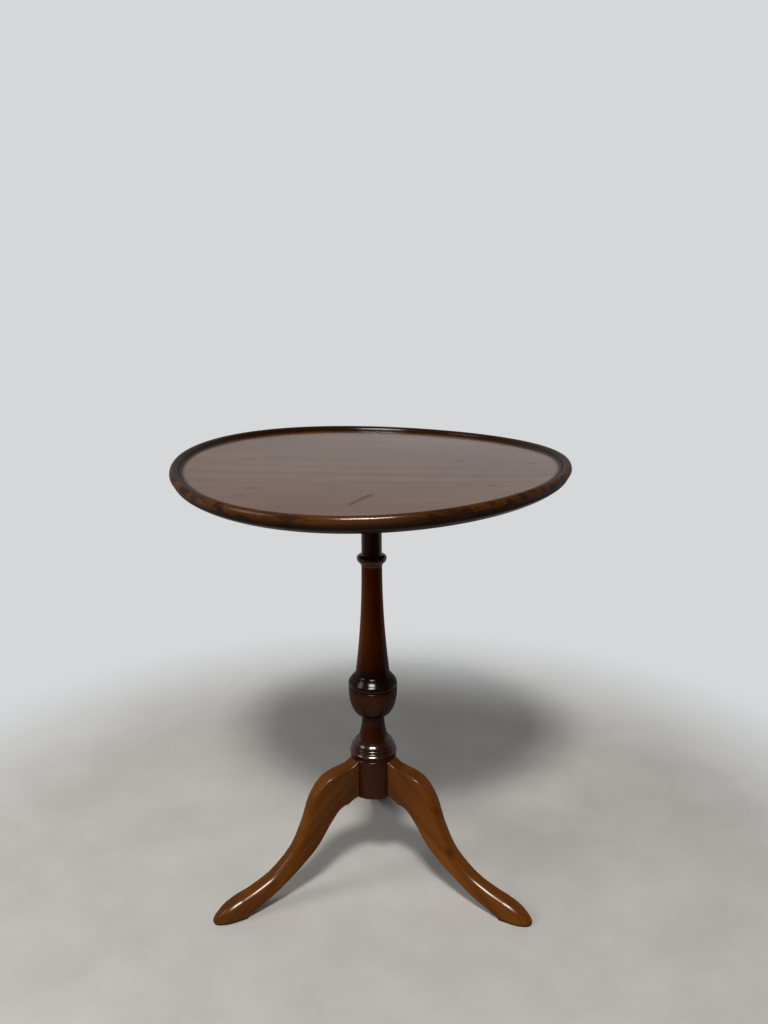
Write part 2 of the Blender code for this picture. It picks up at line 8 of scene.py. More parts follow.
import bmesh
import bpy
from mathutils import Euler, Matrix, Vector


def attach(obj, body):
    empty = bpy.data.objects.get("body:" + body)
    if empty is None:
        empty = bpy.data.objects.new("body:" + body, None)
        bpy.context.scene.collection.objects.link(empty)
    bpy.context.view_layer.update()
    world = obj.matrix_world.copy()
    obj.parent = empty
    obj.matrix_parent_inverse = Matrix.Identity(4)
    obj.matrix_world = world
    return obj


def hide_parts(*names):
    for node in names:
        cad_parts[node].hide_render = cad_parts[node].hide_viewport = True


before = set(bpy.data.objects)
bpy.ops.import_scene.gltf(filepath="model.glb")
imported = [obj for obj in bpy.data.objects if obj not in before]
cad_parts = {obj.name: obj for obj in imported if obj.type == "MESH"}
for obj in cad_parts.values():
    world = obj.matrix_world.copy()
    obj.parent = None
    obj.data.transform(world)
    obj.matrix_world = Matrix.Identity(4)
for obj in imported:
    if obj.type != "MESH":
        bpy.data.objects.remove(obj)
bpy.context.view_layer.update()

# Gap in the dry joints, as in the model
CLEARANCE = 0.0003

# The dished top: its radius, its levels, and how far in from its edge each form lies
TOP_RADIUS = 0.2267
TOP_UNDERSIDE = 0.5126
TOP_BEVEL = 0.5212
TOP_EDGE = 0.5288
TOP_FIELD = 0.5308
TOP_QUIRK = 0.5328
TOP_CREST = 0.5358
FIELD_INSET = 0.0165
QUIRK_INSET = 0.0105
CREST_INSET = 0.0042
BEVEL_INSET = 0.0044
UNDERSIDE_INSET = 0.026
UNDERSIDE_BOW = 0.0020
EDGE_ROUNDING = 0.0012
BEVEL_ROUNDING = 0.0016

# The twist of the old top, which starts outside its flat middle
TOP_FLAT = 0.062
TOP_WARP = 0.00478
TOP_WARP_TURN = math.radians(-25.0)

# Levels of the column, from its foot up
DRUM_BOTTOM = 0.1173
DRUM_TOP = 0.1665
BAND_TOP = 0.1697
BEAD_NOSE = 0.1722
BEAD_TOP = 0.1753
HOLLOW_MIDDLE = 0.1766
RING_BOTTOM = 0.1780
CUSHION_BOTTOM = 0.1808
WAIST_BOTTOM = 0.1865
URN_BOTTOM = 0.2195
URN_BELT = 0.2524
FILLET_BOTTOM = 0.2576
SHOULDER_BOTTOM = 0.2594
SHOULDER_TOP = 0.2727
SHAFT_BOTTOM = 0.2764
LISTEL_BOTTOM = 0.4108
COLLAR_BOTTOM = 0.4138
COLLAR_WIDEST = 0.41968
NECK_BOTTOM = 0.4236
CAPITAL_BOTTOM = 0.4740
ABACUS_BOTTOM = 0.4934
ABACUS_TOP = 0.4974
TENON_TOP = 0.5123

# Radii of the column, from its foot up
DRUM_RADIUS = 0.0278
BAND_RADIUS = 0.0280
BEAD_FOOT_RADIUS = 0.0262
BEAD_RADIUS = 0.0290
BEAD_TOP_RADIUS = 0.0264
RING_FOOT_RADIUS = 0.0256
RING_RADIUS = 0.0268
CUSHION_RADIUS = 0.0257
CUSHION_TOP_RADIUS = 0.0214
WAIST_FOOT_RADIUS = 0.0195
WAIST_RADIUS = 0.0139
URN_RADIUS = 0.0294
FILLET_RADIUS = 0.0279
SHOULDER_RADIUS = 0.0297
SHOULDER_TOP_RADIUS = 0.0219
SHAFT_FOOT_RADIUS = 0.0204
SHAFT_TOP_RADIUS = 0.0122
LISTEL_RADIUS = 0.0129
COLLAR_RADIUS = 0.0177
NECK_RADIUS = 0.0120
ABACUS_RADIUS = 0.0180
TENON_RADIUS = 0.010

# How far the column's curves bow out, or in where the bow is negative, and how fast the shaft thins
BEAD_BOW = 0.0003
HOLLOW_BOW = -0.0010
CUSHION_BOW = 0.0005
WAIST_BOW = -0.0021
SHOULDER_BOW = 0.0003
SHAFT_FOOT_BOW = -0.0002
CAPITAL_BOW = -0.0024
SHAFT_EASE = 2.03

# Small edges of the column
DRUM_GROOVE = 0.0006
URN_EDGE_DROP = 0.0012
URN_ROUNDING = 0.0008
FILLET_RISE = 0.0001
LIP_ROUNDING = 0.0011
LIP_RISE = 0.0006
LIP_DEPTH = 0.0035
LIP_HEIGHT = 0.0060
LIP_SWEEP = 60

# The legs and the dovetails that hold them in the drum
LEG_THICKNESS = 0.020
FOOT_WIDTH = 0.0245
LEG_TOP = 0.1647
DRUM_FLAT = math.sqrt(DRUM_RADIUS ** 2 - (LEG_THICKNESS / 2) ** 2)
LEG_SHOULDER = DRUM_FLAT + CLEARANCE
TAIL_TOP = 0.1593
TAIL_DEPTH = 0.012
TAIL_NECK = 0.011
TAIL_END = 0.015
SOCKET_PAST = 0.004
LEG_DIRECTIONS = {"back": 90.0, "left": 210.0, "right": 330.0}

# A leg's outline in millimetres: out from the axis, up from the floor
LEG_HOLLOW = ((26.24, 164.7), (34.0, 159.6), (43.0, 157.1), (52.0, 155.3))
LEG_ARCH = ((26.24, 117.3), (32.3, 115.4), (36.9, 112.8), (40.3, 110.2))
LEG_BACK = ((52.0, 155.3), (62.0, 152.3), (70.2, 147.7), (80.0, 138.2), (88.9, 124.5), (98.9, 96.8),
            (113.0, 69.2), (138.2, 45.3), (163.0, 32.7), (183.4, 25.8))
LEG_BELLY = ((40.3, 110.2), (45.0, 110.2), (54.0, 104.7), (66.8, 88.4), (84.6, 63.7), (112.5, 39.9),
             (143.0, 19.4), (164.0, 9.0), (178.5, 2.2))
LEG_INSTEP = ((183.4, 25.8), (194.4, 21.6), (204.3, 16.0), (211.2, 10.0), (214.9, 4.8), (216.3, 1.2))
LEG_SOLE = ((179.0, 0.0), (215.7, 0.0))

# Radius of a leg's upper arrises: at the root, what the knee and the shin add, and on the foot
ROOT_ARRIS = 0.0017
KNEE_ARRIS = 0.0068
SHIN_ARRIS = 0.0010
FOOT_ARRIS = 0.0095
TOE_ARRIS = 0.0020
BELLY_ARRIS = 0.0014

# The most an arris may take of a leg's half width and of its depth
BACK_LIMITS = (0.94, 0.80)
BELLY_LIMITS = (0.40, 0.15)

# Shares of the way: where the knee starts and how long it is, where the toe narrows and how much is left
KNEE_START = 0.06
KNEE_LENGTH = 0.26
TOE_START = 0.38
TOE_END_WIDTH = 0.25

# Fineness of the visible pieces
TOP_SEGMENTS = 192
COLUMN_SEGMENTS = 128
FLOOR_SEGMENTS = 128
FIELD_RINGS = 16
ARC_STEPS = 12
FINE_STEPS = 24
SHAFT_STEPS = 36
FEW_STEPS = 4
ARRIS_STEPS = 8
CURVE_STEPS = 48
ROOT_SECTIONS = 10
SHANK_SECTIONS = 64
FOOT_SECTIONS = 30
ARRIS = 0.0003
SMOOTH_ANGLE = math.radians(35.0)
MERGE = 1e-6

# Middle colour of each wood, the steel, what dirt, painted shade and tarnish do to them, and the painted
# light on the shaft
TOP_COLOUR = (0.105, 0.036, 0.008)
COLUMN_COLOUR = (0.033, 0.0062, 0.0011)
LEG_COLOUR = (0.150, 0.044, 0.0030)
BLOCK_COLOUR = (0.12, 0.050, 0.022)
WEDGE_COLOUR = (0.30, 0.17, 0.08)
DIRT_AND_SHADE_COLOUR = (0.012, 0.005, 0.003, 1.0)
STEEL_DARK = (0.30, 0.29, 0.27)
STEEL_LIGHT = (0.46, 0.44, 0.41)
TARNISH_COLOUR = (0.10, 0.055, 0.030, 1.0)
SHAFT_PAINTED_LIGHT = (3.1, 2.9, 1.3, 1.0)
LEFT_SIDE_PAINTED_LIGHT = (1.05, 1.5, 1.0, 1.0)

# Turn of an upright grain, slope of a leg's grain in degrees, depth of each leg's colour, and a knot
UPRIGHT = (0, math.radians(90.0), 0)
LEG_SLOPE = 40.0
LEG_DEPTHS = {"back": 0.82, "left": 0.72, "right": 0.92}
KNOT = (0.094, -0.065, 0.068)

# Levels of the column's grooves, darkened with painted shade
QUIRKS = (DRUM_TOP, BAND_TOP, HOLLOW_MIDDLE, CUSHION_BOTTOM, FILLET_BOTTOM, COLLAR_BOTTOM)

# Soft steps of the top's colour and polish, from where each starts to where it is full: radii, levels,
# and ribbon. They place the painted shade inside the rim and on the underside.
RIM_INSIDE = (0.2085, 0.2140)
RIM_CREST = (0.2212, 0.2240)
RIM_SIDE = (0.2205, 0.2240)
RIM_FOOT = (0.5290, 0.5310)
UNDERSIDE_END = (0.5225, 0.5305)
RIM_MOTTLES = (0.46, 0.60)

# Soft steps of the column's painted light, painted shade and polish: levels, then across the shaft, then
# away from a groove
SHAFT_START = (0.26, 0.34)
SHAFT_END = (0.405, 0.425)
SHOULDER_START = (FILLET_BOTTOM, 0.2590)
SHOULDER_END = (0.272, 0.290)
LIP_END = (0.2615, 0.2650)
MOULDINGS_START = (BAND_TOP, BEAD_NOSE)
MOULDINGS_END = (WAIST_BOTTOM, 0.195)
NECK_START = (0.408, COLLAR_BOTTOM)
DARK_FOOT_END = (0.235, 0.265)
LEFT_SIDE_LIGHT_EDGE = (0.0, 0.010)
QUIRK_EDGE = (0.0003, 0.0012)

# Soft steps of a leg's painted shade, grime and stain: out from the axis, up from the floor, and out from
# the knot
ROOT_END = (0.030, 0.085)
FOOT_START = (0.13, 0.20)
SOLE_END = (0.0012, 0.0035)
KNOT_EDGE = (0.002, 0.009)

# Small dents in the flat of the top, and one scratch from end to end, with how softly they end
DENTS = ((-0.146, 0.026), (-0.139, 0.029), (-0.123, -0.101), (-0.132, -0.127), (0.101, 0.016),
         (0.180, -0.001), (0.131, -0.104), (0.103, -0.097), (0.115, -0.060))
DENT_EDGE = (0.002, 0.011)
DENT_STRETCH = 1.8
SCRATCH = ((-0.017, -0.168), (0.004, -0.133))
SCRATCH_EDGE = (0.0008, 0.0050)
SCRATCH_START = (-0.006, 0.004)
SCRATCH_END = (-0.004, 0.008)

# The floor: its radius, where it starts to fade into the surroundings, and its colours
FLOOR_RADIUS = 0.85
FLOOR_CLEAR = 0.45
FLOOR_DARK = (0.46, 0.45, 0.42)
FLOOR_LIGHT = (0.54, 0.53, 0.50)

# Brightness of the surroundings: as the camera sees them, and as the table mirrors them
ROOM_COLOUR = (0.97, 0.985, 1.0, 1.0)
ROOM_SEEN = 0.69
WALL_MIRRORED = 0.47
LEFT_MIRRORED = 0.10
ROOM_MIRRORED = 0.02
WALL_FADE = 0.95

# Soft steps of what the table mirrors, as directions: to the back, to the right, and up
BACK_START = (-0.25, 0.35)
LEFT_END = (-0.9, 0.2)
WALL_END = (0.45, 0.75)

# The lamps' colour and the spot that they look at
LAMP_COLOUR = (1.0, 0.98, 0.95)
LAMP_TARGET = Vector((0, 0, 0.30))

# The camera: lens and sensor in millimetres, angles in degrees
CAMERA_LENS = 36.914
CAMERA_SENSOR = 36.0
CAMERA_SPOT = (0.0344, -1.1714, 0.8005)
CAMERA_YAW = 0.963
CAMERA_PITCH = 74.469
CAMERA_ROLL = -0.316


def ellipse(centre, half_r, half_z, start, end, steps=ARC_STEPS):
    """Points of an ellipse's arc in the turning plane, from one angle in degrees to another."""
    points = []
    for step in range(steps + 1):
        angle = math.radians(start + (end - start) * step / steps)
        points.append((centre[0] + half_r * math.cos(angle), centre[1] + half_z * math.sin(angle)))
    return points


def half_bead(edge, widest, bottom, top):
    """Points of a bead that stands out between two levels."""
    middle = (edge, (bottom + top) / 2)
    return ellipse(middle, widest - edge, (top - bottom) / 2, -90, 90, FINE_STEPS)


def bowed(start, end, bow, steps=ARC_STEPS):
    """Points of a shallow bow, out at its middle, or hollow for a negative bow."""
    way = Vector(end) - Vector(start)
    outwards = Vector((way.y, -way.x)).normalized()
    points = []
    for step in range(steps + 1):
        share = step / steps
        points.append(tuple(Vector(start) + way * share + outwards * (4 * bow * share * (1 - share))))
    return points


def turned(profile, segments):
    """Spin a profile of (radius, height) points around the axis of the column."""
    bm = bmesh.new()
    verts = [bm.verts.new((radius, 0.0, height)) for radius, height in profile]
    edges = [bm.edges.new(pair) for pair in zip(verts, verts[1:])]
    bmesh.ops.spin(bm, geom=verts + edges, cent=(0, 0, 0), axis=(0, 0, 1), angle=math.tau,
                   steps=segments, use_merge=True)
    bmesh.ops.remove_doubles(bm, verts=bm.verts, dist=MERGE)
    bmesh.ops.recalc_face_normals(bm, faces=bm.faces)
    return bm


def round_edges(bm, edges, size, segments):
    """Round some edges of a shape."""
    bmesh.ops.bevel(bm, geom=edges, offset=size, offset_type="OFFSET", segments=segments, profile=0.5,
                    affect="EDGES", clamp_overlap=True, material=-1)


def ease_arrises(bm, size):
    """Take the sharp edges off, as years of polishing do."""
    sharp = [edge for edge in bm.edges if edge.is_manifold and edge.calc_face_angle() > SMOOTH_ANGLE]
    round_edges(bm, sharp, size, 2)


def round_ring(bm, level, size):
    """Round the turned edge that lies at one level."""
    ring = [edge for edge in bm.edges if all(abs(vert.co.z - level) < MERGE for vert in edge.verts)]
    round_edges(bm, ring, size, 4)


def turn_around_axis(bm, degrees):
    """Turn a shape around the axis of the column."""
    matrix = Euler((0, 0, math.radians(degrees))).to_matrix()
    bmesh.ops.rotate(bm, verts=bm.verts, cent=(0, 0, 0), matrix=matrix)


def only(kind, geometry):
    """The verts, edges or faces among an operator's results."""
    return [item for item in geometry if isinstance(item, kind)]


def add_piece(name, bm):
    """Make a finished shape an object at the origin."""
    mesh = bpy.data.meshes.new(name)
    bm.to_mesh(mesh)
    bm.free()
    piece = bpy.data.objects.new(name, mesh)
    bpy.context.scene.collection.objects.link(piece)
    return piece


def smooth(piece):
    """Shade a piece smooth, with its sharp edges kept."""
    piece.data.shade_smooth()
    piece.data.set_sharp_from_angle(angle=SMOOTH_ANGLE)


def cut(piece, shapes):
    """Cut closed shapes out of a piece, and keep the result as its mesh."""
    cutters = []
    for number, shape in enumerate(shapes):
        cutter = add_piece(f"{piece.name}_cut_{number}", shape)
        cutters.append(cutter)
        step = piece.modifiers.new(cutter.name, "BOOLEAN")
        step.operation = "DIFFERENCE"
        step.solver = "EXACT"
        step.object = cutter
    shaped = piece.evaluated_get(bpy.context.evaluated_depsgraph_get())
    mesh = bpy.data.meshes.new_from_object(shaped)
    piece.modifiers.clear()
    piece.data = mesh
    for cutter in cutters:
        bpy.data.meshes.remove(cutter.data)


def raised(outline, bottom, top, degrees=0.0):
    """A flat outline of (x, y) points raised between two levels and turned around the axis."""
    bm = bmesh.new()
    face = bm.faces.new([bm.verts.new((x, y, bottom)) for x, y in outline])
    grown = bmesh.ops.extrude_face_region(bm, geom=[face])["geom"]
    bmesh.ops.translate(bm, verts=only(bmesh.types.BMVert, grown), vec=(0, 0, top - bottom))
    bmesh.ops.recalc_face_normals(bm, faces=bm.faces)
    turn_around_axis(bm, degrees)
    return bm


def top_profile():
    """Outline of the top: across the field, over the rim and back along the underside."""
    field_edge = TOP_RADIUS - FIELD_INSET
    quirk = TOP_RADIUS - QUIRK_INSET
    crest = TOP_RADIUS - CREST_INSET
    under_edge = TOP_RADIUS - UNDERSIDE_INSET
    bevel = (TOP_RADIUS - BEVEL_INSET, TOP_BEVEL)
    rings = [step / FIELD_RINGS for step in range(FIELD_RINGS)]
    profile = [(0.0, TOP_FIELD), (TOP_FLAT / 2, TOP_FIELD)]
    profile += [(TOP_FLAT + (field_edge - TOP_FLAT) * share, TOP_FIELD) for share in rings]
    profile += ellipse((field_edge, TOP_QUIRK), quirk - field_edge, TOP_QUIRK - TOP_FIELD, -90, 0)
    profile += ellipse((crest, TOP_QUIRK), crest - quirk, TOP_CREST - TOP_QUIRK, 180, 90)
    profile += ellipse((crest, TOP_EDGE), TOP_RADIUS - crest, TOP_CREST - TOP_EDGE, 90, 0)
    profile += bowed((TOP_RADIUS, TOP_EDGE), bevel, 0.0, FEW_STEPS)[1:-1]
    profile += bowed((under_edge, TOP_UNDERSIDE), bevel, UNDERSIDE_BOW)[::-1]
    profile += [(TOP_FLAT + (under_edge - TOP_FLAT) * share, TOP_UNDERSIDE) for share in reversed(rings)]
    profile += [(TOP_FLAT / 2, TOP_UNDERSIDE), (0.0, TOP_UNDERSIDE)]
    return profile


def make_top():
    """Dished board with a rounded rim, a fine quirk inside it and the slight twist of old wood."""
    bm = turned(top_profile(), TOP_SEGMENTS)
    round_ring(bm, TOP_EDGE, EDGE_ROUNDING)
    round_ring(bm, TOP_BEVEL, BEVEL_ROUNDING)
    level = bm.verts.layers.float.new("level")
    for vert in bm.verts:
        vert[level] = vert.co.z
        radius = math.hypot(vert.co.x, vert.co.y)
        share = max(0.0, (radius - TOP_FLAT) / (TOP_RADIUS - TOP_FLAT))
        angle = math.atan2(vert.co.y, vert.co.x)
        vert.co.z += TOP_WARP * share ** 2 * math.cos(2 * (angle - TOP_WARP_TURN))
    top = add_piece("dished_top", bm)
    smooth(top)
    return top


def base_points():
    """The drum, and the mouldings over it."""
    points = [(0.0, DRUM_BOTTOM), (DRUM_RADIUS, DRUM_BOTTOM), (DRUM_RADIUS, DRUM_TOP - DRUM_GROOVE),
              (DRUM_RADIUS - DRUM_GROOVE, DRUM_TOP), (BAND_RADIUS, DRUM_TOP + DRUM_GROOVE),
              (BAND_RADIUS, BAND_TOP)]
    bead_depth = BEAD_RADIUS - BEAD_FOOT_RADIUS
    bead_end = (BEAD_TOP_RADIUS, BEAD_TOP)
    points += ellipse((BEAD_FOOT_RADIUS, BEAD_NOSE), bead_depth, BEAD_NOSE - BAND_TOP, -90, 0)
    points += bowed((BEAD_RADIUS, BEAD_NOSE), bead_end, BEAD_BOW)[1:]
    points += bowed(bead_end, (RING_FOOT_RADIUS, RING_BOTTOM), HOLLOW_BOW)[1:-1]
    points += half_bead(RING_FOOT_RADIUS, RING_RADIUS, RING_BOTTOM, CUSHION_BOTTOM)
    points += bowed((CUSHION_RADIUS, CUSHION_BOTTOM), (CUSHION_TOP_RADIUS, WAIST_BOTTOM), CUSHION_BOW)
    return points


def urn_points():
    """The waist, the urn, and the shoulder on it with its lip."""
    waist_end = (WAIST_RADIUS, URN_BOTTOM)
    urn_depth = URN_RADIUS - WAIST_RADIUS
    urn_edge = (URN_RADIUS - URN_ROUNDING, FILLET_BOTTOM - URN_EDGE_DROP)
    lip_foot = (SHOULDER_RADIUS - LIP_ROUNDING, SHOULDER_BOTTOM)
    lip = (SHOULDER_RADIUS - LIP_DEPTH, SHOULDER_BOTTOM + LIP_RISE)
    points = bowed((WAIST_FOOT_RADIUS, WAIST_BOTTOM), waist_end, WAIST_BOW, FINE_STEPS)
    points += ellipse((WAIST_RADIUS, URN_BELT), urn_depth, URN_BELT - URN_BOTTOM, -90, 0, FINE_STEPS)[1:]
    points += ellipse(urn_edge, URN_ROUNDING, URN_ROUNDING, 0, 90, FEW_STEPS)
    points += [(FILLET_RADIUS, FILLET_BOTTOM + FILLET_RISE)]
    points += ellipse(lip_foot, LIP_ROUNDING, LIP_ROUNDING, -90, 0)
    points += ellipse(lip, LIP_DEPTH, LIP_HEIGHT, 0, LIP_SWEEP)
    points += bowed(points[-1], (SHOULDER_TOP_RADIUS, SHOULDER_TOP), SHOULDER_BOW)[1:]
    points += bowed(points[-1], (SHAFT_FOOT_RADIUS, SHAFT_BOTTOM), SHAFT_FOOT_BOW, FEW_STEPS)[1:]
    return points


def shaft_points():
    """The shaft, which thins quickly at its foot and slowly further up."""
    points = []
    for step in range(1, SHAFT_STEPS + 1):
        share = step / SHAFT_STEPS
        swell = (SHAFT_FOOT_RADIUS - SHAFT_TOP_RADIUS) * (1 - share) ** SHAFT_EASE
        points.append((SHAFT_TOP_RADIUS + swell, SHAFT_BOTTOM + (LISTEL_BOTTOM - SHAFT_BOTTOM) * share))
    return points


def neck_points():
    """The listel, the collar, the neck, and the tenon that goes into the block."""
    points = [(LISTEL_RADIUS, LISTEL_BOTTOM)]
    foot_depth = COLLAR_RADIUS - LISTEL_RADIUS
    top_depth = COLLAR_RADIUS - NECK_RADIUS
    points += ellipse((LISTEL_RADIUS, COLLAR_WIDEST), foot_depth, COLLAR_WIDEST - COLLAR_BOTTOM, -90, 0)
    points += ellipse((NECK_RADIUS, COLLAR_WIDEST), top_depth, NECK_BOTTOM - COLLAR_WIDEST, 0, 90)[1:]
    points += bowed((NECK_RADIUS, CAPITAL_BOTTOM), (ABACUS_RADIUS, ABACUS_BOTTOM), CAPITAL_BOW)
    points += [(ABACUS_RADIUS, ABACUS_TOP), (TENON_RADIUS, ABACUS_TOP), (TENON_RADIUS, TENON_TOP),
               (0.0, TENON_TOP)]
    return points


def make_column():
    """The turned column, from the drum to the tenon, with the flats and sockets of the legs."""
    bm = turned(base_points() + urn_points() + shaft_points() + neck_points(), COLUMN_SEGMENTS)
    ease_arrises(bm, ARRIS)
    column = add_piece("turned_column", bm)
    half = LEG_THICKNESS / 2 + SOCKET_PAST
    out = DRUM_RADIUS + SOCKET_PAST
    bottom = DRUM_BOTTOM - SOCKET_PAST
    flat = ((DRUM_FLAT, -half), (out, -half), (out, half), (DRUM_FLAT, half))
    shapes = []
    for degrees in LEG_DIRECTIONS.values():
        shapes.append(raised(flat, bottom, LEG_TOP + CLEARANCE, degrees))
        shapes.append(raised(tail_outline(out, CLEARANCE), bottom, TAIL_TOP + CLEARANCE, degrees))
    cut(column, shapes)
    smooth(column)
    return column


def tail_outline(outer, grow):
    """A leg's dovetail seen from above, wider towards the axis."""
    outline = []
    inner = LEG_SHOULDER - TAIL_DEPTH - grow
    for x, side in ((inner, -1), (outer, -1), (outer, 1), (inner, 1)):
        flare = (TAIL_END - TAIL_NECK) * (LEG_SHOULDER - x) / TAIL_DEPTH
        outline.append((x, side * ((TAIL_NECK + flare) / 2 + grow)))
    return outline


def smooth_curve(outline, count):
    """Evenly spaced points, count of them, on a smooth curve through an outline's knots."""
    knots = [Vector((out / 1000, up / 1000)) for out, up in outline]
    fine = []
    for index in range(len(knots) - 1):
        start = knots[index]
        end = knots[index + 1]
        leaving = (end - knots[max(index - 1, 0)]) / 2
        arriving = (knots[min(index + 2, len(knots) - 1)] - start) / 2
        for step in range(CURVE_STEPS):
            t = step / CURVE_STEPS
            fine.append(start * (2 * t ** 3 - 3 * t ** 2 + 1) + leaving * (t ** 3 - 2 * t ** 2 + t)
                        + end * (3 * t ** 2 - 2 * t ** 3) + arriving * (t ** 3 - t ** 2))
    fine.append(knots[-1])
    lengths = [0.0]
    for start, end in zip(fine, fine[1:]):
        lengths.append(lengths[-1] + (end - start).length)
    points = []
    place = 0
    for step in range(count):
        goal = lengths[-1] * step / (count - 1)
        while place < len(fine) - 2 and lengths[place + 1] < goal:
            place += 1
        share = (goal - lengths[place]) / (lengths[place + 1] - lengths[place])
        points.append(fine[place].lerp(fine[place + 1], share))
    return points


def paired(upper, lower, count):
    """Points on two edges of a leg side by side, with the share of the way at each pair."""
    pairs = zip(smooth_curve(upper, count), smooth_curve(lower, count))
    return [(above, below, index / (count - 1)) for index, (above, below) in enumerate(pairs)]


def leg_stations():
    """Pairs of points on the leg's upper and lower edges, with the half width and arris radius there."""
    half = LEG_THICKNESS / 2
    half_foot = FOOT_WIDTH / 2
    stations = []
    for upper, lower, share in paired(LEG_HOLLOW, LEG_ARCH, ROOT_SECTIONS)[:-1]:
        stations.append((upper, lower, half, ROOT_ARRIS))
    for upper, lower, share in paired(LEG_BACK, LEG_BELLY, SHANK_SECTIONS):
        knee = min(1.0, max(0.0, (share - KNEE_START) / KNEE_LENGTH))
        arris = ROOT_ARRIS + KNEE_ARRIS * knee ** 2 * (3 - 2 * knee) + SHIN_ARRIS * share
        stations.append((upper, lower, half + (half_foot - half) * share ** 3, arris))
    for upper, lower, share in paired(LEG_INSTEP, LEG_SOLE, FOOT_SECTIONS):
        turn = max(0.0, (share - TOE_START) / (1 - TOE_START))
        width = half_foot * math.sqrt(1.0 - (1.0 - TOE_END_WIDTH ** 2) * turn ** 2)
        stations.append((upper, lower, width, FOOT_ARRIS + TOE_ARRIS * share))
    return stations


def leg_section(upper, lower, half_width, arris):
    """Ring of points across the leg: rounded arrises above, fine ones below."""
    depth = (upper - lower).length
    rise = (upper - lower) / depth
    back = min(arris, BACK_LIMITS[0] * half_width, BACK_LIMITS[1] * depth)
    belly = min(BELLY_ARRIS, BELLY_LIMITS[0] * half_width, BELLY_LIMITS[1] * depth)
    ring = []
    for side, level, radius, start in ((1, belly, belly, -90), (1, depth - back, back, 0),
                                       (-1, depth - back, back, 90), (-1, belly, belly, 180)):
        centre = (side * (half_width - radius), level)
        for across, up in ellipse(centre, radius, radius, start, start + 90, ARRIS_STEPS):
            spot = lower + rise * up
            ring.append(Vector((spot.x, across, spot.y)))
    return ring


def make_leg(side, degrees):
    """Carve one leg: a ring at the shoulder, drawn out section by section to the toe."""
    sections = [leg_section(*station) for station in leg_stations()]
    bm = bmesh.new()
    order = bm.verts.layers.int.new("order")
    ring = [bm.verts.new(point) for point in sections[0]]
    for index, vert in enumerate(ring):
        vert[order] = index
    edges = [bm.edges.new(pair) for pair in zip(ring, ring[1:] + ring[:1])]
    for section in sections[1:]:
        grown = bmesh.ops.extrude_edge_only(bm, edges=edges)["geom"]
        verts = set(only(bmesh.types.BMVert, grown))
        for vert in verts:
            vert.co = section[vert[order]]
        edges = [edge for edge in only(bmesh.types.BMEdge, grown) if set(edge.verts) <= verts]
    bm.faces.new([edge.verts[0] for edge in sorted(edges, key=lambda edge: edge.verts[0][order])])
    make_tail(bm, bm.faces.new(ring))
    bm.verts.layers.int.remove(order)
    bmesh.ops.remove_doubles(bm, verts=bm.verts, dist=MERGE)
    bmesh.ops.recalc_face_normals(bm, faces=bm.faces)
    turn_around_axis(bm, degrees)
    leg = add_piece("cabriole_leg_" + side, bm)
    smooth(leg)
    return leg


def make_tail(bm, shoulder):
    """Draw the dovetail out of the leg's shoulder."""
    half = TAIL_NECK / 2
    parts = [shoulder]
    cheek = (0, 1, 0)
    for spot, normal in (((0, half, 0), cheek), ((0, -half, 0), cheek), ((0, 0, TAIL_TOP), (0, 0, 1))):
        geom = set(parts)
        for face in parts:
            geom.update(face.edges)
            geom.update(face.verts)
        made = bmesh.ops.bisect_plane(bm, geom=list(geom), plane_co=spot, plane_no=normal)["geom"]
        parts = only(bmesh.types.BMFace, made)
    middle = [face for face in parts
              if abs(face.calc_center_median().y) < half / 2 and face.calc_center_median().z < TAIL_TOP]
    grown = bmesh.ops.extrude_discrete_faces(bm, faces=middle)["faces"]
    for face in grown:
        for vert in face.verts:
            vert.co.x -= TAIL_DEPTH
            vert.co.y *= TAIL_END / TAIL_NECK


class Tone:
    """A number or colour on a surface. Python's operators on numbers add Math nodes."""

    def __init__(self, surface, socket):
        self.surface = surface
        self.socket = socket

    def math(self, operation, *values):
        return self.surface.add("ShaderNodeMath", {"operation": operation}, dict(enumerate(values)))

    def __add__(self, other):
        return self.math("ADD", self, other)

    def __sub__(self, other):
        return self.math("SUBTRACT", self, other)

    def __rsub__(self, other):
        return self.math("SUBTRACT", other, self)

    def __mul__(self, other):
        return self.math("MULTIPLY", self, other)

    def __truediv__(self, other):
        return self.math("DIVIDE", self, other)

    def __pow__(self, other):
        return self.math("POWER", self, other)

    def __abs__(self):
        return self.math("ABSOLUTE", self)

    __radd__ = __add__
    __rmul__ = __mul__

    def root(self):
        return self.math("SQRT", self)

    def between(self, low, high):
        """0 below low, 1 above high, and a soft step from one to the other."""
        settings = {"interpolation_type": "SMOOTHSTEP"}
        values = {"Value": self, "From Min": low, "From Max": high}
        return self.surface.add("ShaderNodeMapRange", settings, values)


class Nodes:
    """A node tree that expressions add to."""

    def __init__(self, tree):
        self.tree = tree

    def add(self, kind, settings, values, output=0):
        """Add a node, with its settings first and then the values or links of its sockets."""
        node = self.tree.nodes.new(kind)
        for key, value in settings.items():
            if key == "stops":
                set_stops(node.color_ramp, value)
            else:
                setattr(node, key, value)
        for key, value in values.items():
            self.feed(node.inputs[key], value)
        return Tone(self, node.outputs[output])

    def feed(self, socket, value):
        if isinstance(value, Tone):
            self.tree.links.new(value.socket, socket)
        else:
            socket.default_value = value

    def parts(self, spot):
        split = self.add("ShaderNodeSeparateXYZ", {}, {"Vector": spot})
        return [Tone(self, split.socket.node.outputs[axis]) for axis in "XYZ"]


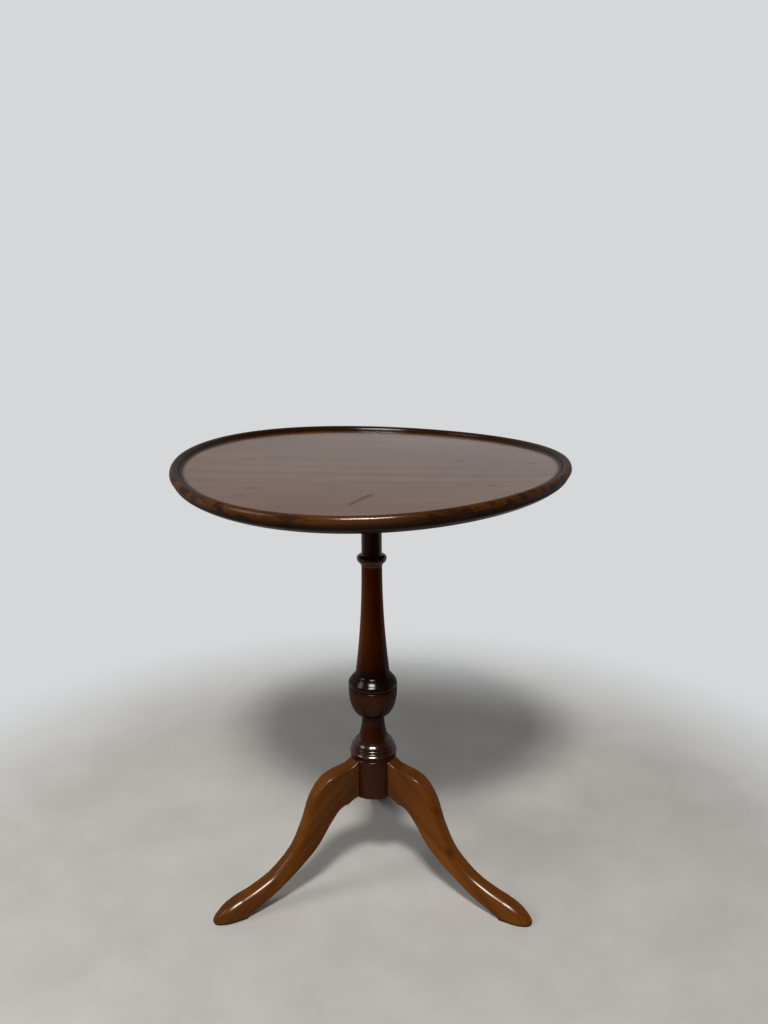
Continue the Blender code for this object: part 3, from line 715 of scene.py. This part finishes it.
class Surface(Nodes):
    """One material, and the nodes that give it its finish."""

    def __init__(self, name):
        self.material = bpy.data.materials.new(name)
        self.material.use_nodes = True
        super().__init__(self.material.node_tree)
        self.shader = self.tree.nodes["Principled BSDF"]

    def set(self, **values):
        for key, value in values.items():
            self.feed(self.shader.inputs[key.replace("_", " ")], value)

    def place(self, turn=(0, 0, 0), shift=(0, 0, 0)):
        """The piece's own coordinates, turned so that the grain runs along X."""
        spot = self.add("ShaderNodeTexCoord", {}, {}, "Object")
        return self.add("ShaderNodeMapping", {}, {"Vector": spot, "Rotation": turn, "Location": shift})

    def noise(self, spot, stretch, detail=2.0, roughness=0.5):
        """Noise with so many waves to the metre along each axis."""
        stretched = self.add("ShaderNodeVectorMath", {"operation": "MULTIPLY"}, {0: spot, 1: stretch})
        values = {"Vector": stretched, "Scale": 1.0, "Detail": detail, "Roughness": roughness}
        return self.add("ShaderNodeTexNoise", {}, values)

    def bands(self, tone, detail=2.0):
        """Uneven bands along one number."""
        values = {"W": tone, "Scale": 1.0, "Detail": detail}
        return self.add("ShaderNodeTexNoise", {"noise_dimensions": "1D"}, values)

    def ramp(self, tone, stops):
        return self.add("ShaderNodeValToRGB", {"stops": stops}, {"Fac": tone})

    def mix(self, share, below, above, kind="MIX"):
        settings = {"data_type": "RGBA", "blend_type": kind}
        return self.add("ShaderNodeMix", settings, {0: share, 6: below, 7: above}, 2)

    def bump(self, height, strength, distance):
        values = {"Height": height, "Strength": strength, "Distance": distance}
        self.set(Normal=self.add("ShaderNodeBump", {}, values))


def set_stops(ramp, stops):
    while len(ramp.elements) < len(stops):
        ramp.elements.new(1.0)
    for element, (position, colour) in zip(ramp.elements, stops):
        element.position = position
        element.color = (*colour, 1.0)


class Wood(Surface):
    """Mahogany: uneven rings around a heart beside the piece, ribbon figure, fibres and open pores."""

    # Waves to the metre of each pattern, along the grain and then across it
    WANDER_WAVES = (2.5, 9.0, 9.0)
    RIBBON_WAVES = (6.0, 95.0, 95.0)
    FIBRE_WAVES = (16.0, 800.0, 800.0)
    CLOUD_WAVES = (11.0, 17.0, 17.0)
    PORE_WAVES = (160.0, 2300.0, 2300.0)

    # How far the rings wander, and how much each pattern says in the colour
    WANDER = 0.035
    RING_SHARE = 0.75
    RIBBON_SHARE = 0.5
    FIBRE_SHARE = 0.45
    CLOUD_SHARE = 0.8
    PORE_SHARE = 0.4

    def __init__(self, name, turn, heart, spacing, colours, shift=(0, 0, 0)):
        super().__init__(name)
        self.spot = self.place(turn, shift)
        self.x, self.y, self.z = self.parts(self.spot)
        wander = (self.noise(self.spot, self.WANDER_WAVES) - 0.5) * self.WANDER
        from_heart = ((self.y - heart[0]) ** 2 + (self.z - heart[1]) ** 2).root() + wander
        self.rings = self.bands(from_heart / spacing)
        self.ribbon = self.noise(self.spot, self.RIBBON_WAVES, detail=3.0)
        self.fibre = self.noise(self.spot, self.FIBRE_WAVES, detail=3.0, roughness=0.6)
        self.cloud = self.noise(self.spot, self.CLOUD_WAVES)
        self.pores = self.noise(self.spot, self.PORE_WAVES, detail=1.0).between(0.60, 0.72)
        figure = (self.rings - 0.5) * self.RING_SHARE + (self.ribbon - 0.5) * self.RIBBON_SHARE
        figure = figure + (self.fibre - 0.5) * self.FIBRE_SHARE
        figure = figure + (self.cloud - 0.5) * self.CLOUD_SHARE + 0.5
        dark, middle, light = colours
        self.colour = self.ramp(figure, ((0.2, dark), (0.5, middle), (0.8, light)))
        self.darken(self.pores * self.PORE_SHARE)

    def darken(self, share):
        """Darken the colour where share is above 0: dirt, stain and open pores in some places, painted
        shade in others.
        """
        self.colour = self.mix(share, self.colour, DIRT_AND_SHADE_COLOUR)

    def paint_light(self, share, gain):
        """Multiply the colour where share is above 0: painted light."""
        self.colour = self.mix(share, self.colour, gain, "MULTIPLY")

    def polish(self, coat, coat_roughness, dull):
        """Matt wood under a rubbed film of polish, which years of use have dulled where dull is 1."""
        self.set(Base_Color=self.colour, Coat_Weight=(1 - dull) * coat, Coat_Roughness=coat_roughness)
        self.set(Specular_IOR_Level=0.0)
        self.set(Roughness=self.cloud * 0.10 + self.pores * 0.12 + dull * 0.3 + 0.25)
        relief = self.fibre * 0.25 - self.pores * 0.6 + self.cloud * 0.6
        self.bump(relief, strength=0.10, distance=0.0006)


def shades(middle, contrast):
    """Dark, middle and light of one wood. Its dark lines are redder, its light ones more golden."""
    red, green, blue = middle
    dark = (red / contrast, green / contrast ** 1.25, blue / contrast ** 1.2)
    light = (red * contrast, green * contrast ** 1.2, blue * contrast ** 1.3)
    return dark, middle, light


def dent(x, y, spot):
    """A soft dent on the flat of the top, longer along the grain, 1 at its middle."""
    away = ((x - spot[0]) ** 2 + ((y - spot[1]) * DENT_STRETCH) ** 2).root()
    return 1 - away.between(*DENT_EDGE)


def scratch(x, y, start, end):
    """A narrow scratch between two spots on the flat of the top."""
    way = Vector(end) - Vector(start)
    length = way.length
    way.normalize()
    along_it = (x - start[0]) * way.x + (y - start[1]) * way.y
    beside_it = abs((y - start[1]) * way.x - (x - start[0]) * way.y)
    past_start = along_it.between(*SCRATCH_START)
    past_end = along_it.between(length + SCRATCH_END[0], length + SCRATCH_END[1])
    return (1 - beside_it.between(*SCRATCH_EDGE)) * (past_start * (1 - past_end))


def top_wood():
    """The top: glossy field with its marks, painted shade inside the rim, mottled rim, and a dull
    underside darkened with painted shade.
    """
    wood = Wood("polished_top", turn=(0, 0, math.radians(4.0)), heart=(0.06, 0.40), spacing=0.012,
                colours=shades(TOP_COLOUR, contrast=1.40))
    x, y = wood.parts(wood.place())[:2]
    level = wood.add("ShaderNodeAttribute", {"attribute_name": "level"}, {}, "Fac")
    radius = (x ** 2 + y ** 2).root()
    inner_rim = radius.between(*RIM_INSIDE) * (1 - radius.between(*RIM_CREST)) * level.between(*RIM_FOOT)
    outer_rim = radius.between(*RIM_SIDE)
    mottles = wood.ribbon.between(*RIM_MOTTLES)
    underside = 1 - level.between(*UNDERSIDE_END)
    worn = scratch(x, y, *SCRATCH)
    for spot in DENTS:
        worn = worn + dent(x, y, spot) * 0.4
    worn = worn * (1 - underside)
    wood.darken(outer_rim * (mottles * 0.5 + 0.3))
    # Painted shade in the hollow inside the rim
    wood.darken(inner_rim * 0.92)
    # Painted shade on the underside and the lower bevel
    wood.darken(underside * 0.75)
    wood.darken(worn * 0.35)
    sheen = (1 - inner_rim * 0.7) * (1 - outer_rim * 0.8) * (1 - underside * 0.6) * (1 - worn * 0.4)
    wood.polish(coat=1.0, coat_roughness=0.16, dull=1 - sheen)
    return wood.material


def column_wood():
    """The column: dark at its foot, painted shade on the shoulder and in the grooves, painted light up
    the shaft and more on its left side, glossy on the mouldings.
    """
    wood = Wood("polished_column", turn=UPRIGHT, heart=(0.045, 0.025), spacing=0.012,
                colours=shades(COLUMN_COLOUR, contrast=1.5))
    height = wood.x
    # Painted light up the shaft, which lies in the top's shade, and more of it, golden, on the shaft's
    # left side
    shaft = height.between(*SHAFT_START) * (1 - height.between(*SHAFT_END) * 0.7)
    left_side_painted_light = shaft * wood.z.between(*LEFT_SIDE_LIGHT_EDGE)
    above_urn = height.between(*SHOULDER_START)
    shoulder = above_urn * (1 - height.between(*SHOULDER_END))
    lip = above_urn * (1 - height.between(*LIP_END))
    mouldings = height.between(*MOULDINGS_START) * (1 - height.between(*MOULDINGS_END))
    neck = height.between(*NECK_START)
    foot = 1 - height.between(*DARK_FOOT_END)
    wood.paint_light(shaft, SHAFT_PAINTED_LIGHT)
    wood.paint_light(left_side_painted_light, LEFT_SIDE_PAINTED_LIGHT)
    # Painted shade on the shoulder, where the top's shadow falls
    wood.darken(shoulder * 0.85)
    # Painted shade in the grooves
    for level in QUIRKS:
        wood.darken((1 - abs(height - level).between(*QUIRK_EDGE)) * 0.8)
    wood.darken(foot * 0.25)
    wood.polish(coat=0.70, coat_roughness=0.16, dull=(1 - mouldings - lip * 0.5 - neck) * 0.7)
    return wood.material


def leg_wood(side, degrees):
    """Grain along the slope of the leg. The three legs come from three pieces of wood."""
    slope = Euler((0, -math.radians(LEG_SLOPE), 0)).to_matrix()
    turn = slope @ Euler((0, 0, -math.radians(degrees))).to_matrix()
    colour = tuple(part * LEG_DEPTHS[side] for part in LEG_COLOUR)
    wood = Wood("polished_leg_" + side, turn=tuple(turn.to_euler()), heart=(0.030, -0.050), spacing=0.014,
                colours=shades(colour, contrast=1.35), shift=(0.0, 0.0, degrees * 0.01))
    x, y, z = wood.parts(wood.place())
    away = (x ** 2 + y ** 2).root()
    root = 1 - away.between(*ROOT_END)
    foot = away.between(*FOOT_START)
    sole_grime_and_shade = 1 - z.between(*SOLE_END)
    # Painted shade near the column; the feet are also made darker
    wood.darken(root * 0.40 + foot * 0.2)
    # Grime and a painted contact shadow along the sole
    wood.darken(sole_grime_and_shade * 0.8)
    if side == "right":
        from_knot = ((x - KNOT[0]) ** 2 + (y - KNOT[1]) ** 2 + (z - KNOT[2]) ** 2).root()
        wood.darken((1 - from_knot.between(*KNOT_EDGE)) * 0.5)
    wood.polish(coat=0.22, coat_roughness=0.23, dull=sole_grime_and_shade)
    return wood.material


def bare_wood(name, turn, colours):
    """Wood that nobody sees, left without polish."""
    wood = Wood(name, turn, heart=(0.05, 0.09), spacing=0.009, colours=colours)
    wood.set(Base_Color=wood.colour)
    wood.set(Roughness=wood.fibre * 0.2 + 0.55)
    wood.bump(wood.fibre * 0.5 - wood.pores, strength=0.2, distance=0.0004)
    return wood.material


def dull_steel():
    """Old steel: brushed marks, and brown tarnish in patches."""
    steel = Surface("dull_steel")
    spot = steel.place()
    brushed = steel.noise(spot, (60.0, 2600.0, 900.0))
    tarnish = steel.noise(spot, (260.0, 260.0, 260.0), detail=4.0).between(0.48, 0.72)
    bright = steel.ramp(brushed, ((0.3, STEEL_DARK), (0.7, STEEL_LIGHT)))
    steel.set(Base_Color=steel.mix(tarnish * 0.75, bright, TARNISH_COLOUR))
    steel.set(Metallic=1 - tarnish * 0.6, Roughness=brushed * 0.15 + tarnish * 0.3 + 0.32)
    steel.bump(brushed + tarnish, strength=0.1, distance=0.0002)
    return steel.material


def pale_floor():
    """Pale stone grey that fades out into the surroundings."""
    floor = Surface("pale_floor")
    spot = floor.place()
    x, y = floor.parts(spot)[:2]
    mottle = floor.noise(spot, (9.0, 9.0, 9.0), detail=5.0, roughness=0.6)
    away = (x ** 2 + y ** 2).root()
    floor.set(Base_Color=floor.ramp(mottle, ((0.3, FLOOR_DARK), (0.7, FLOOR_LIGHT))))
    floor.set(Roughness=0.7, Alpha=1 - away.between(FLOOR_CLEAR, FLOOR_RADIUS))
    return floor.material


def paint(piece, material):
    """Give a piece one material all over."""
    piece.data.materials.clear()
    piece.data.materials.append(material)


def dress(piece, material, node):
    """Give a new piece its finish and let it stand for its node."""
    paint(piece, material)
    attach(piece, "root")
    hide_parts(node)


def add_table():
    """The new top, column and legs, and the finishes of the model's own block, wedge and steel."""
    dress(make_top(), top_wood(), "top")
    dress(make_column(), column_wood(), "column")
    for side, degrees in LEG_DIRECTIONS.items():
        dress(make_leg(side, degrees), leg_wood(side, degrees), "leg_" + side)
    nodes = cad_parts
    paint(nodes["top_block"], bare_wood("bare_block", (0, 0, 0), shades(BLOCK_COLOUR, contrast=1.5)))
    paint(nodes["tenon_wedge"], bare_wood("bare_wedge", UPRIGHT, shades(WEDGE_COLOUR, contrast=1.4)))
    steel = dull_steel()
    for node, piece in nodes.items():
        if "screw" in node or "plate" in node:
            paint(piece, steel)


def add_light(name, spot, size, power, lights_all=True):
    """A soft panel that looks at the column. Without lights_all it only shows in the polish."""
    light = bpy.data.lights.new(name, "AREA")
    light.shape = "RECTANGLE"
    light.size, light.size_y = size
    light.energy = power
    light.color = LAMP_COLOUR
    holder = bpy.data.objects.new(name, light)
    holder.location = spot
    holder.rotation_euler = (LAMP_TARGET - Vector(spot)).to_track_quat("-Z", "Y").to_euler()
    holder.visible_diffuse = lights_all
    bpy.context.scene.collection.objects.link(holder)


def add_floor():
    """A round floor under the table."""
    bm = bmesh.new()
    bmesh.ops.create_circle(bm, cap_ends=True, segments=FLOOR_SEGMENTS, radius=FLOOR_RADIUS)
    floor = add_piece("floor", bm)
    paint(floor, pale_floor())


def add_world():
    """Pale surroundings. What the table mirrors is bright behind it and dim in front."""
    world = bpy.data.worlds.new("pale_room")
    world.use_nodes = True
    room = Nodes(world.node_tree)
    x, y, z = room.parts(room.add("ShaderNodeTexCoord", {}, {}, "Generated"))
    behind = y.between(*BACK_START)
    left = 1 - x.between(*LEFT_END)
    seen = room.add("ShaderNodeLightPath", {}, {}, "Is Camera Ray")
    wall = behind * (1 - z.between(*WALL_END) * WALL_FADE)
    mirrored = wall * WALL_MIRRORED + left * LEFT_MIRRORED + ROOM_MIRRORED
    backdrop = room.tree.nodes["Background"]
    room.feed(backdrop.inputs["Color"], ROOM_COLOUR)
    room.feed(backdrop.inputs["Strength"], seen * ROOM_SEEN + (1 - seen) * mirrored)
    bpy.context.scene.world = world


def add_camera():
    """The camera, where the photograph was taken from."""
    camera = bpy.data.cameras.new("camera")
    camera.sensor_fit = "VERTICAL"
    camera.sensor_height = CAMERA_SENSOR
    camera.lens = CAMERA_LENS
    holder = bpy.data.objects.new("camera", camera)
    holder.location = CAMERA_SPOT
    yaw = Euler((0, 0, math.radians(CAMERA_YAW))).to_matrix()
    pitch = Euler((math.radians(CAMERA_PITCH), 0, 0)).to_matrix()
    roll = Euler((0, 0, math.radians(CAMERA_ROLL))).to_matrix()
    holder.rotation_euler = (yaw @ pitch @ roll).to_euler()
    bpy.context.scene.collection.objects.link(holder)
    bpy.context.scene.camera = holder


def main():
    bpy.context.scene.view_settings.view_transform = "Standard"
    add_camera()
    add_table()
    add_floor()
    add_world()
    add_light("front_light", spot=(-0.25, -2.85, 4.05), size=(0.7, 0.5), power=165.0)
    add_light("front_gleam", spot=(-0.25, -2.95, 4.05), size=(1.8, 1.2), power=700.0, lights_all=False)
    add_light("left_light", spot=(-1.80, -0.65, 1.60), size=(0.8, 0.8), power=17.0)


main()
